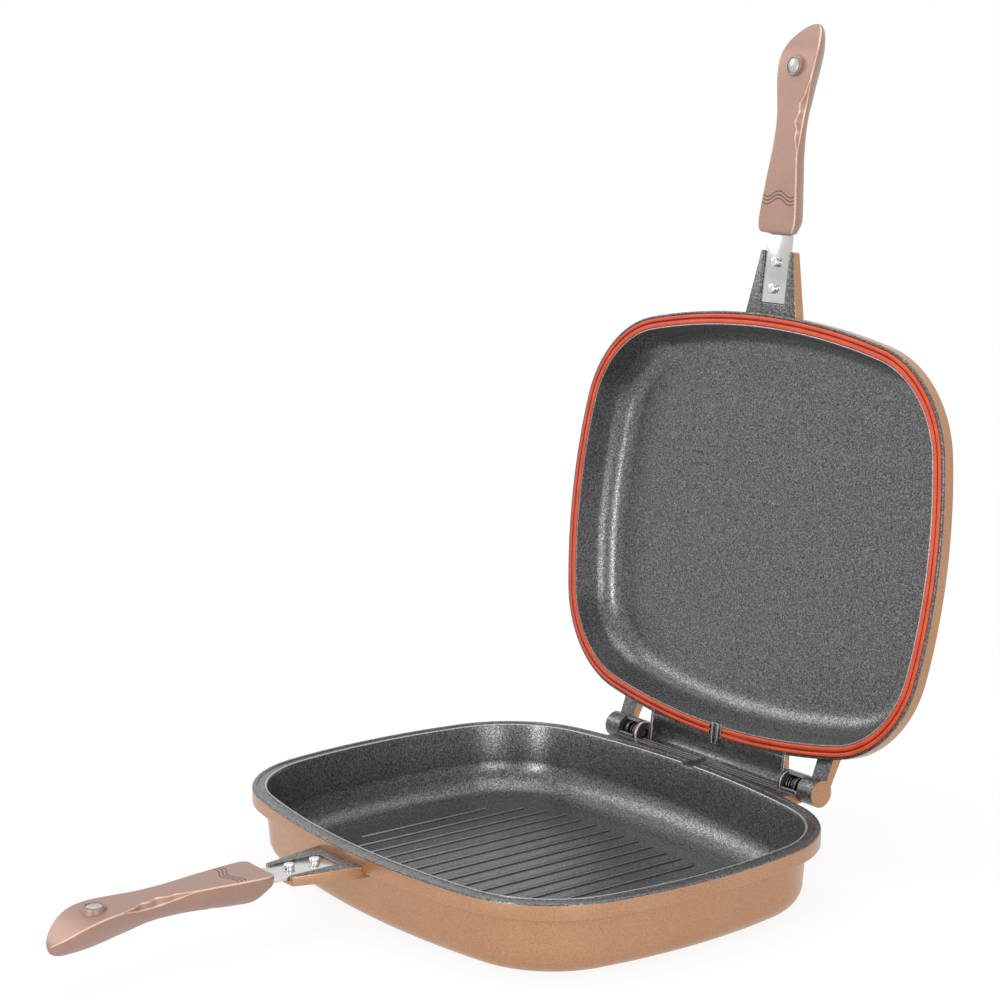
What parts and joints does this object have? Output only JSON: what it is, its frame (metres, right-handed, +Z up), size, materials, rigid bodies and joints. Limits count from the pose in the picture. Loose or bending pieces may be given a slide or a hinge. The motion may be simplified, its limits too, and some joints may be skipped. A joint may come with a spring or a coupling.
{
  "type": "double sided flip pan",
  "caption": "Frying pan of two ribbed and smooth cast halves that fold face to face on a sprung-pin rear hinge, with magnet-closed grips.",
  "frame": {"origin": "centre of the lower pan's flat base face", "axes": "+Z up out of the lower pan, +X along the hinge, +Y from the handles to the hinge"},
  "size_m": [0.32, 0.5187, 0.4764],
  "materials": {
    "pan_coating": "copper-coloured satin coat outside, dark speckled non-stick inside",
    "steel": "polished stainless plate",
    "grip_paint": "satin rose-taupe paint on moulded plastic",
    "cup_steel": "plated steel",
    "magnet": "nickel-plated magnet",
    "screw_steel": "plated screw steel",
    "rivet_steel": "polished stainless heads",
    "silicone": "matt orange-red silicone",
    "pin_steel": "turned steel",
    "spring_steel": "drawn spring wire"
  },
  "bodies": {
    "lower_half": {"lower_pan": "pan_coating", "lower_tang": "steel", "lower_grip": "grip_paint", "lower_magnet_cup": "cup_steel", "lower_magnet": "magnet", "lower_grip_screw": "screw_steel", "lower_rivet_inner": "rivet_steel", "lower_rivet_outer": "rivet_steel", "left_hinge_spring": "spring_steel", "right_hinge_spring": "spring_steel"},
    "lid_half": {"upper_pan": "pan_coating", "upper_tang": "steel", "upper_grip": "grip_paint", "upper_magnet_cup": "cup_steel", "upper_magnet": "magnet", "upper_grip_screw": "screw_steel", "upper_rivet_inner": "rivet_steel", "upper_rivet_outer": "rivet_steel", "lid_seal": "silicone"},
    "left_pin": {"left_hinge_pin": "pin_steel"},
    "right_pin": {"right_hinge_pin": "pin_steel"}
  },
  "joints": [
    {"name": "lid_hinge", "type": "hinge", "parent": "lower_half", "child": "lid_half", "pos_m": [0, 0.1393, 0.0439], "axis": [1, 0, 0], "range_deg": [0, 97.5]},
    {"name": "left_pin_release", "type": "slide", "parent": "lower_half", "child": "left_pin", "axis": [1, 0, 0], "range_m": [0, 0.0036], "stiffness_N_per_m": 700, "springref_m": -0.002, "deforming": ["left_hinge_spring"]},
    {"name": "right_pin_release", "type": "slide", "parent": "lower_half", "child": "right_pin", "axis": [-1, 0, 0], "range_m": [0, 0.0036], "stiffness_N_per_m": 700, "springref_m": -0.002, "deforming": ["right_hinge_spring"]}
  ]
}
